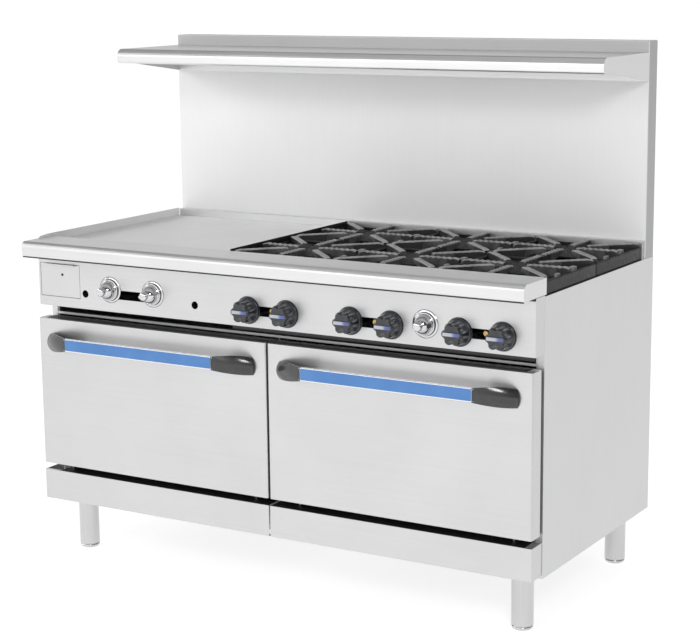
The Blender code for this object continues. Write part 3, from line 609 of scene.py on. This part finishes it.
def make_grates():
    casting = grate_mesh(*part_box("grate_middle_front"))
    pads = lug_mesh()
    for column in COLUMNS:
        for row in ROWS:
            node = f"grate_{column}_{row}"
            low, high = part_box(node)
            place = Matrix.Translation(((low.x + high.x) / 2, (low.y + high.y) / 2, low.z))
            piece(f"{node}_casting", casting, node, (node,), place, 0.0006)
            piece(f"{node}_pads", pads, node, (), place, 0.0008)


def lug_mesh():
    """Ground pads on the ribs' shoulders, where one grate is levelled with the next, in the pale iron of
    wear and painted sheen.
    """
    shapes = []
    for x, y, long, wide, z in (
        (0.131, 0.052, 0.020, 0.014, 0.036),
        (0.133, -0.046, 0.018, 0.010, 0.033),
        (-0.131, -0.058, 0.018, 0.012, 0.034),
    ):
        outline = rounded(rectangle(x - wide / 2, y - long / 2, x + wide / 2, y + long / 2), 0.003)
        shapes.append(extrude(outline, "Z", 0.018, z))
    return mesh_of("grate_pads", join(*shapes), "iron_wear_and_sheen")


# ---- Knobs ----
def knob_lobes(angle, height, radius):
    """Six soft flutes that start above the skirt."""
    depth = 0.0052 * min(1.0, max(0.0, (height - 0.010) / 0.008))
    wave = 0.5 - 0.5 * math.cos(6 * angle)
    return radius - depth * wave**1.6 * min(1.0, radius / 0.024)


def burner_knob_shape():
    """The moulding, with its back at 0 and its nose towards +Z."""
    profile = [
        (0.0335, 0.0000),
        (0.0346, 0.0008),
        (0.0350, 0.0020),
        (0.0350, 0.0042),
        (0.0344, 0.0056),
        (0.0330, 0.0064),
        (0.0318, 0.0090),
        (0.0312, 0.0130),
        (0.0306, 0.0190),
        (0.0300, 0.0260),
        (0.0294, 0.0330),
        (0.0286, 0.0370),
        (0.0272, 0.0396),
        (0.0250, 0.0408),
        (0.0215, 0.0404),
        (0.0160, 0.0392),
        (0.0080, 0.0388),
        (0.0010, 0.0388),
    ]
    return turned(profile, 96, knob_lobes)


def make_burner_knobs():
    body = mesh_of("burner_knob_moulding", burner_knob_shape(), "plastic")
    bar = rounded(rectangle(-0.0245, -0.0056, 0.0255, 0.0056), 0.0022, 4)
    bar_mesh = mesh_of("knob_bar", extrude(bar, "Z", 0.030, 0.0413), "plastic")
    print_outline = rounded(rectangle(-0.0232, -0.0042, 0.0225, 0.0042), 0.0010, 3)
    mark_mesh = mesh_of("knob_mark", extrude(print_outline, "Z", 0.0405, 0.0416), "mark")
    ring = mesh_of(
        "knob_ring",
        turned(
            [
                (0.012, 0.0),
                (0.0368, 0.0),
                (0.0368, 0.0007),
                (0.0361, 0.0015),
                (0.0340, 0.0017),
                (0.012, 0.0017),
            ],
            64,
        ),
        "plastic",
    )
    for index in range(6):
        node = f"burner_knob_{index + 1}"
        low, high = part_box(node)
        centre = Vector(((low.x + high.x) / 2, high.y, (low.z + high.z) / 2))
        place = facing(centre, (0, -1, 0)) @ upright()
        piece(f"{node}_moulding", body, node, (node,), place)
        piece(f"{node}_bar", bar_mesh, node, (), place, 0.0006)
        piece(f"{node}_mark", mark_mesh, node, (), place)
        on_panel = facing(Vector((centre.x, PANEL_FRONT, centre.z)), (0, -1, 0))
        piece(f"{node}_bezel", ring, "range", (), on_panel)


def upright():
    """Turns a shape about its +Z so that its +X points right once it faces the front."""
    facing_front = Vector((0, 0, 1)).rotation_difference(Vector((0, -1, 0))).to_matrix()
    right = facing_front @ Vector((1, 0, 0))
    angle = math.atan2(right.z, right.x)
    return Matrix.Rotation(angle, 4, "Z")


def domed_knob_shape():
    profile = [
        (0.0272, 0.0000),
        (0.0288, 0.0006),
        (0.0290, 0.0018),
        (0.0290, 0.0044),
        (0.0284, 0.0056),
        (0.0268, 0.0060),
        (0.0262, 0.0066),
        (0.0262, 0.0092),
        (0.0256, 0.0100),
        (0.0246, 0.0104),
        (0.0240, 0.0116),
        (0.0232, 0.0150),
        (0.0216, 0.0194),
        (0.0194, 0.0234),
        (0.0168, 0.0268),
        (0.0140, 0.0294),
        (0.0118, 0.0310),
        (0.0106, 0.0320),
        (0.0104, 0.0330),
        (0.0110, 0.0342),
        (0.0119, 0.0360),
        (0.0123, 0.0384),
        (0.0121, 0.0412),
        (0.0111, 0.0438),
        (0.0092, 0.0457),
        (0.0064, 0.0467),
        (0.0034, 0.0470),
        (0.0006, 0.0471),
    ]
    return turned(profile, 72)


def make_domed_knobs():
    """Three bright knobs, each over a pressed bezel on the panel."""
    mesh = mesh_of("domed_knob", domed_knob_shape(), "chrome")
    bezel_profile = [
        (0.0120, 0.0),
        (0.0350, 0.0),
        (0.0350, 0.0004),
        (0.0342, 0.0010),
        (0.0326, 0.0012),
        (0.0318, 0.0017),
        (0.0304, 0.0018),
        (0.0120, 0.0018),
    ]
    bezel = mesh_of("domed_knob_bezel", turned(bezel_profile, 72), "chrome")
    # Two thin black rings, one in the gap round each chrome knob's foot and one just outside its bezel:
    # painted shade.
    groove_shade = turned([(0.0120, 0.0), (0.0303, 0.0), (0.0303, 0.0019), (0.0120, 0.0019)], 72)
    shadow = turned([(0.0120, 0.0), (0.0361, 0.0), (0.0361, 0.0003), (0.0120, 0.0003)], 72)
    shade_rings = mesh_of("domed_knob_shade_rings", join(groove_shade, shadow), "black")
    for node in ("griddle_knob_left", "griddle_knob_right", "thermostat_knob"):
        low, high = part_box(node)
        centre = Vector(((low.x + high.x) / 2, high.y, (low.z + high.z) / 2))
        piece(f"{node}_turned", mesh, node, (node,), facing(centre, (0, -1, 0)))
        seat = facing(Vector((centre.x, PANEL_FRONT, centre.z)), (0, -1, 0))
        piece(f"{node}_bezel", bezel, "range", (), seat)
        piece(f"{node}_washer", shade_rings, "range", (), seat)


# ---- Door handles ----
def cap_sections(front, back, start, reach, top, low, low_end, steps=16):
    """Sections of an end cap that slants back to the door while its lower edge drops.

    Its plan is a blend of a straight slant and a quarter ellipse, and its outer face is crowned.
    """
    straight, curved = 0.85, 0.15
    skin = 0.0055
    sections = []
    for i in range(steps + 1):
        t = i / steps
        a = t * math.pi / 2
        x = start + reach * (curved * math.sin(a) + straight * t)
        y = front + (back - front) * (curved * (1 - math.cos(a)) + straight * t**1.15)
        slope_x = reach * (curved * math.cos(a) * math.pi / 2 + straight)
        slope_y = (back - front) * (curved * math.sin(a) * math.pi / 2 + 0.98 * t**0.15)
        along = Vector((slope_x, slope_y)).normalized()
        out = Vector((along.y, -along.x))
        bottom = low + (low_end - low) * math.sin(a)
        crest = top + 0.0030 * math.sin(math.pi * t) - 0.0050 * t**6
        middle, half = (crest + bottom) / 2, (crest - bottom) / 2
        crown = 0.0004 + 0.0085 * math.sin(math.pi * min(1.0, t * 0.5 + 0.02)) ** 1.2
        loop = []
        for q in range(-90, 91, 15):
            rise = math.sin(math.radians(q))
            bulge = crown * (1 - rise**2)
            loop.append((x + out.x * bulge, y + out.y * bulge, middle + half * rise))
        inner = [(x - out.x * skin, y - out.y * skin, middle + half * r) for r in (0.94, 0.0, -0.94)]
        sections.append(loop + inner)
    return sections


def make_handles():
    for name, _ in SIDES:
        handle, insert, body = f"door_handle_{name}", f"handle_insert_{name}", f"door_{name}"
        low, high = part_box(handle)
        strip_low, strip_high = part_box(insert)
        level = (strip_low.z + strip_high.z) / 2
        place = Matrix.Translation(((low.x + high.x) / 2, 0, level))
        half = (strip_high.x - strip_low.x) / 2
        height = (strip_high.z - strip_low.z) / 2
        face = strip_low.y
        outline = rectangle(face + 0.0006, -height, face + 0.0106, height)
        bar = extrude(rounded(outline, 0.0016, 4), "X", -half - 0.004, half + 0.004)
        bar_mesh = mesh_of(f"{handle}_bar", bar, "aluminium")
        piece(f"{handle}_bar", bar_mesh, body, (handle,), place)
        film = box(
            (-half + 0.0012, face, -height + 0.0024),
            (half - 0.0012, face + 0.0008, height - 0.0020),
        )
        film_mesh = mesh_of(f"{insert}_film", film, "blue")
        piece(f"{insert}_film", film_mesh, body, (insert,), place)
        reach = (high.x - low.x) / 2 - half - 0.0055
        top, bottom, bottom_end = high.z - level - 0.001, -height - 0.001, low.z - level
        cap = loft(cap_sections(face, high.y - 0.0005, half, reach, top, bottom, bottom_end))
        caps = join(cap, moved(cap, Matrix.Diagonal((-1, 1, 1, 1))))
        caps_mesh = mesh_of(f"{handle}_caps", caps, "cap")
        piece(f"{handle}_caps", caps_mesh, body, (handle,), place, 0.0010)


def make_kick_shades():
    """Black sheet over the kick panels' top returns and on the apron behind them: painted shade where the
    strip under the doors lies in shadow.
    """
    reach = {"left": 0.7050, "right": 0.7390}
    for name, side in SIDES:
        low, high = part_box(f"kick_panel_{name}")
        inner, outer = sorted((side * 0.0040, side * reach[name]))
        top = box((inner, low.y + 0.0020, high.z - 0.0002), (outer, FACE - 0.0004, high.z + 0.0006))
        back = box((inner, FACE - 0.0030, high.z - 0.0002), (outer, FACE - 0.0002, high.z + 0.0420))
        mesh = mesh_of(f"kick_shade_{name}", join(top, back), "black")
        piece(f"kick_shade_{name}", mesh, "range", ())


def make_door_gap_shades():
    """Black strips on the doors' tops, behind a narrow stainless return: painted shade for the dark gap
    above each door.
    """
    for name, side in SIDES:
        low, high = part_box(f"door_shell_{name}")
        inner, outer = sorted((side * 0.0030, side * 0.7385))
        strip = box((inner, low.y + 0.011, high.z - 0.0002), (outer, high.y - 0.0005, high.z + 0.0010))
        mesh = mesh_of(f"door_gap_shade_{name}", strip, "black")
        piece(f"door_gap_shade_{name}", mesh, f"door_{name}", ())


# ---- Legs and feet ----
def make_legs():
    low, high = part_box("leg_left_front")
    radius = 0.0285
    tall = high.z - low.z
    leg = turned(
        [
            (0.0090, 0.0),
            (radius - 0.0012, 0.0),
            (radius, 0.0012),
            (radius, tall - 0.009),
            (radius + 0.001, tall - 0.006),
            (0.0400, tall - 0.0045),
            (0.0445, tall - 0.0036),
            (0.0450, tall - 0.0022),
            (0.0445, tall),
            (0.0090, tall),
        ],
        72,
    )
    foot = turned(
        [
            (0.0180, 0.0),
            (0.0205, 0.0004),
            (0.0238, 0.0018),
            (0.0262, 0.0042),
            (0.0274, 0.0072),
            (0.0276, 0.0092),
            (0.0270, 0.0106),
            (0.0262, 0.0112),
            (0.0262, 0.0120),
            (0.0080, 0.0120),
            (0.0080, 0.1010),
        ],
        72,
    )
    leg_mesh = mesh_of("leg_tube", leg, "tube")
    foot_mesh = mesh_of("foot_turned", foot, "tube")
    for name, _ in SIDES:
        for row in ROWS:
            foot_body = f"foot_{name}_{row}"
            for kind, mesh, body in (("leg", leg_mesh, "range"), ("foot", foot_mesh, foot_body)):
                node = f"{kind}_{name}_{row}"
                low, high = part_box(node)
                centre = Vector(((low.x + high.x) / 2, (low.y + high.y) / 2, low.z))
                piece(f"{node}_turned", mesh, body, (node,), Matrix.Translation(centre))


# ---- Ovens ----
def make_racks():
    """Round wires: a frame, a middle bar and the shelf wires on top of them."""
    for name, _ in SIDES:
        node = f"oven_rack_{name}"
        low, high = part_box(node)
        bar, thin = 0.0030, 0.0020
        z = low.z + bar
        frame_run = [
            (*p, z)
            for p in rounded(
                [
                    (low.x + bar, low.y + bar),
                    (high.x - bar, low.y + bar),
                    (high.x - bar, high.y - bar),
                    (low.x + bar, high.y - bar),
                ],
                0.015,
                5,
            )
        ]
        wire(f"{node}_frame", [frame_run], bar, "range", "wire", (node,), closed=True)
        runs = []
        count = 17
        for i in range(count):
            x = low.x + (i + 1) * (high.x - low.x) / (count + 1)
            top = high.z - thin
            runs.append([(x, low.y + bar, top), (x, high.y - bar, top)])
        for share in (0.33, 0.67):
            y = low.y + (high.y - low.y) * share
            runs.append([(low.x + bar, y, z - 0.0005), (high.x - bar, y, z - 0.0005)])
        wire(f"{node}_wires", runs, thin, "range", "wire", (node,))


def make_gaskets():
    """A woven seal round each oven mouth, pressed by the closed door."""
    for name, _ in SIDES:
        low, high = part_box(f"door_liner_{name}")
        middle = (low.x + high.x) / 2
        corners = rectangle(middle - 0.338, 0.296, middle + 0.338, 0.662)
        run = [(x, FACE - 0.0035, z) for x, z in rounded(corners, 0.030, 6)]
        wire(f"oven_gasket_{name}", [run], 0.0035, "range", "gasket", closed=True)


# ---- Fixings and small trim ----
def screw_shape(radius=0.0045, height=0.0022):
    """The domed head of a screw, towards +Z."""
    return turned(
        [
            (radius, 0.0),
            (radius, height * 0.35),
            (radius * 0.9, height * 0.72),
            (radius * 0.62, height * 0.95),
            (0.0004, height),
        ],
        24,
    )


def make_back_details():
    """Vent louvres and screws on the rear panel."""
    low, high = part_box("back_panel")
    length = 0.22
    outline = [(0.0, 0.0), (0.0026, 0.001), (0.0026, 0.006), (0.0, 0.016)]
    rows = []
    for z in (0.30, 0.335, 0.37, 0.405, 0.44):
        for x in (-0.45, -0.15, 0.15, 0.45):
            points = [(high.y + a, z + b) for a, b in outline]
            rows.append(extrude(points, "X", x - length / 2, x + length / 2))
    louvres = mesh_of("back_louvres", join(*rows), "galvanised")
    piece("back_louvres", louvres, "range", (), None, 0.0006)
    screws = []
    for x in [-0.72 + 0.18 * i for i in range(9)]:
        for z in (low.z + 0.03, high.z - 0.012):
            screws.append(moved(screw_shape(), facing(Vector((x, high.y, z)), (0, 1, 0))))
    piece("back_screws", mesh_of("back_screws", join(*screws), "wire"), "range", ())


def make_guard_edges():
    """Darker steel over the backguard's folded hems, one above the shelf and one down each end: painted
    shade on those faces.
    """
    low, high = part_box("backguard")
    thin = 0.0004
    shelf_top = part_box("overshelf")[1].z
    strip = box(
        (low.x + 0.0010, low.y - thin, shelf_top - 0.0010),
        (high.x - 0.0010, low.y + thin, high.z - 0.0012),
    )
    ends = [
        box((x - thin, low.y + 0.0040, low.z + 0.0010), (x + thin, high.y - 0.0010, high.z - 0.0015))
        for x in (low.x, high.x)
    ]
    piece("guard_fold_shades", mesh_of("guard_fold_shades", join(strip, *ends), "fold_shade"), "range", ())


def make_griddle_edge():
    """A thin black divider between the griddle plate and the grates."""
    plate_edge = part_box("griddle_plate")[1].x
    low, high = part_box("grate_left_front")
    rear_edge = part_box("grate_left_rear")[1].y
    edge = box(
        (plate_edge + 0.0003, low.y + 0.001, low.z + 0.002),
        (low.x - 0.0003, rear_edge - 0.002, high.z + 0.001),
    )
    piece("griddle_divider", mesh_of("griddle_divider", edge, "iron"), "range", ())


def hexagon(radius, height):
    """A hexagonal nut with its corners turned down at both ends."""
    small = radius * 0.93
    return turned([(small, 0.0), (radius, height * 0.15), (radius, height * 0.85), (small, height)], 6)


def make_panel_trim():
    """Valve fittings seen in the slots, black strips of painted shade under the ledge, and the drawer's
    catch.
    """
    fittings, nipples = [], []
    tube = turned([(0.0035, 0.0), (0.0035, 0.030)], 16)
    for index in (2, 4, 6):
        low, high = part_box(f"burner_knob_{index}")
        x = (low.x + high.x) / 2 - 0.048
        z = (low.z + high.z) / 2 + 0.002
        nut_place = facing(Vector((x, PANEL_FRONT + 0.020, z)), (0, -1, 0))
        tube_place = facing(Vector((x + 0.022, PANEL_FRONT + 0.014, z)), (-1, 0, 0))
        fittings.append(moved(hexagon(0.0075, 0.016), nut_place))
        nipples.append(moved(tube, tube_place))
    brass_mesh = mesh_of("valve_fittings", join(*fittings), "brass")
    piece("valve_fittings", brass_mesh, "range", (), None, 0.0004)
    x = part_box("griddle_knob_right")[0].x - 0.016
    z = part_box("thermostat_knob")[0].z + 0.0215
    nut_place = facing(Vector((x, PANEL_FRONT + 0.016, z)), (0, -1, 0))
    nipples.append(moved(hexagon(0.0060, 0.014), nut_place))
    piece("valve_nipples", mesh_of("valve_nipples", join(*nipples), "wire"), "range", ())

    # Black strips under the ledge, along the panel, under the ledge's lip and at its right-hand end: all
    # painted shade.
    low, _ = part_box("landing_ledge")
    end = HALF_WIDTH - 0.001
    shade = box(
        (-HALF_WIDTH + 0.004, PANEL_FRONT - 0.0030, low.z - 0.0012),
        (end, PANEL_FRONT - 0.0002, low.z + 0.0002),
    )
    fold_shade = box(
        (-HALF_WIDTH + 0.002, low.y + 0.0012, low.z - 0.0024),
        (HALF_WIDTH - 0.002, low.y + 0.0040, low.z + 0.0003),
    )
    # The notch is a black block of painted shade below the ledge's right end.
    notch = box(
        (HALF_WIDTH - 0.019, PANEL_FRONT - 0.0030, low.z - 0.0075),
        (end, PANEL_FRONT + 0.0004, low.z + 0.0002),
    )
    shade_strips = mesh_of("ledge_shade_strips", join(shade, fold_shade, notch), "black")
    piece("ledge_shade_strips", shade_strips, "range", ())

    pin_place = facing(Vector((-0.678, PANEL_FRONT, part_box("grease_drawer")[0].z + 0.062)), (0, -1, 0))
    pin = moved(screw_shape(0.0036, 0.0016), pin_place)
    piece("drawer_pin", mesh_of("drawer_pin", pin, "pipe"), "grease_drawer", ())


# ---- Floor, light, world, camera ----
FLOOR_GLOW = 0.82
# brightness of the surround by height, from straight down at 0 to straight up at 1
SKY = [(0.0, 0.90), (0.50, 0.98), (0.66, 0.98), (0.74, 0.35), (0.83, 0.06), (0.90, 0.40), (1.0, 0.85)]


def make_stage():
    n = Nodes("pale_floor")
    n.set(Metallic=0.0, Specular_IOR_Level=0.1, Emission_Strength=FLOOR_GLOW)
    n.shader.inputs["Emission Color"].default_value = (1, 1, 1, 1)
    clouds = n.noise(n.coordinates(), 0.6, 3.0)
    n.colour(n.ramp(clouds, [(0.3, (0.50, 0.50, 0.50)), (0.7, (0.52, 0.52, 0.52))]))
    n.roughness(n.spread(n.noise(n.coordinates(), 2.0), 0.7, 0.8))
    mesh = bpy.data.meshes.new("floor")
    reach = 250
    corners = [(x, y, 0) for x, y in rectangle(-reach, -reach, reach, reach)]
    mesh.from_pydata(corners, [], [(0, 1, 2, 3)])
    mesh.materials.append(n.material)
    floor = bpy.data.objects.new("floor", mesh)
    bpy.context.scene.collection.objects.link(floor)


def soft_light(name, place, target, size, power):
    light = bpy.data.lights.new(name, "AREA")
    light.shape = "RECTANGLE"
    light.size, light.size_y = size
    light.energy = power
    obj = bpy.data.objects.new(name, light)
    obj.location = place
    obj.rotation_euler = (Vector(target) - Vector(place)).to_track_quat("-Z", "Y").to_euler()
    bpy.context.scene.collection.objects.link(obj)




def make_lights():
    """A broad key from the left, a small light for highlights on gloss, and a wide frontal fill."""
    soft_light("key", (-6.5, -2.4, 3.8), (0, 0, 0.8), (3.0, 2.4), 90)
    soft_light("glint", (3.3, -4.4, 3.3), (0, 0, 0.6), (1.2, 1.0), 80)
    soft_light("fill", (-1.6, -5.6, 2.6), (0, 0.3, 1.0), (6.0, 2.6), 64)


def make_world():
    """A surround that is bright near the horizon and overhead, dark between, and dimmer to the right."""
    world = bpy.data.worlds.new("studio")
    bpy.context.scene.world = world
    world.use_nodes = True
    tree = world.node_tree
    background = tree.nodes["Background"]
    source = tree.nodes.new("ShaderNodeTexCoord")

    def mapped(value, ends, results):
        node = tree.nodes.new("ShaderNodeMapRange")
        node.inputs["From Min"].default_value, node.inputs["From Max"].default_value = ends
        node.inputs["To Min"].default_value, node.inputs["To Max"].default_value = results
        tree.links.new(value, node.inputs["Value"])
        return node.outputs["Result"]

    def towards(direction):
        node = tree.nodes.new("ShaderNodeVectorMath")
        node.operation = "DOT_PRODUCT"
        node.inputs[1].default_value = direction
        tree.links.new(source.outputs["Generated"], node.inputs[0])
        return node.outputs["Value"]

    ramp = tree.nodes.new("ShaderNodeValToRGB")
    elements = ramp.color_ramp.elements
    while len(elements) < len(SKY):
        elements.new(0.5)
    for element, (place, grey) in zip(elements, SKY):
        element.position = place
        element.color = (grey, grey, grey, 1)
    split = tree.nodes.new("ShaderNodeSeparateXYZ")
    tree.links.new(source.outputs["Generated"], split.inputs[0])
    tree.links.new(mapped(split.outputs["Z"], (-1.0, 1.0), (0.0, 1.0)), ramp.inputs["Fac"])
    left_to_right = mapped(towards((0.96, 0.26, 0.0)), (-1.0, 1.0), (1.10, 0.60))
    dark_on_the_right = mapped(towards((0.99, -0.14, 0.0)), (0.62, 0.86), (1.0, 0.22))
    strength = tree.nodes.new("ShaderNodeMath")
    strength.operation = "MULTIPLY"
    tree.links.new(left_to_right, strength.inputs[0])
    tree.links.new(dark_on_the_right, strength.inputs[1])
    tree.links.new(ramp.outputs["Color"], background.inputs["Color"])
    tree.links.new(strength.outputs["Value"], background.inputs["Strength"])


CAMERA_PLACE = (2.552, -4.209, 1.641)
CAMERA_AZIMUTH, CAMERA_DIP, CAMERA_ROLL = 30.78, 11.05, -0.56
LENS, SENSOR = 93.65, 36.0


def make_camera():
    data = bpy.data.cameras.new("camera")
    data.lens = LENS
    data.sensor_width = SENSOR
    data.clip_end = 600
    camera = bpy.data.objects.new("camera", data)
    turn = Matrix.Rotation(math.radians(CAMERA_AZIMUTH), 4, "Z")
    tip = Matrix.Rotation(math.radians(90 - CAMERA_DIP), 4, "X")
    roll = Matrix.Rotation(math.radians(CAMERA_ROLL), 4, "Z")
    camera.matrix_world = Matrix.Translation(CAMERA_PLACE) @ turn @ tip @ roll
    bpy.context.scene.collection.objects.link(camera)
    bpy.context.scene.camera = camera
    bpy.context.scene.view_settings.view_transform = "Standard"
    bpy.context.scene.view_settings.look = "None"


make_camera()
dress_nodes()
make_grates()
make_burner_knobs()
make_domed_knobs()
make_handles()
make_door_gap_shades()
make_kick_shades()
make_guard_edges()
make_griddle_edge()
make_panel_trim()
make_legs()
make_racks()
make_gaskets()
make_back_details()
make_stage()
make_lights()
make_world()
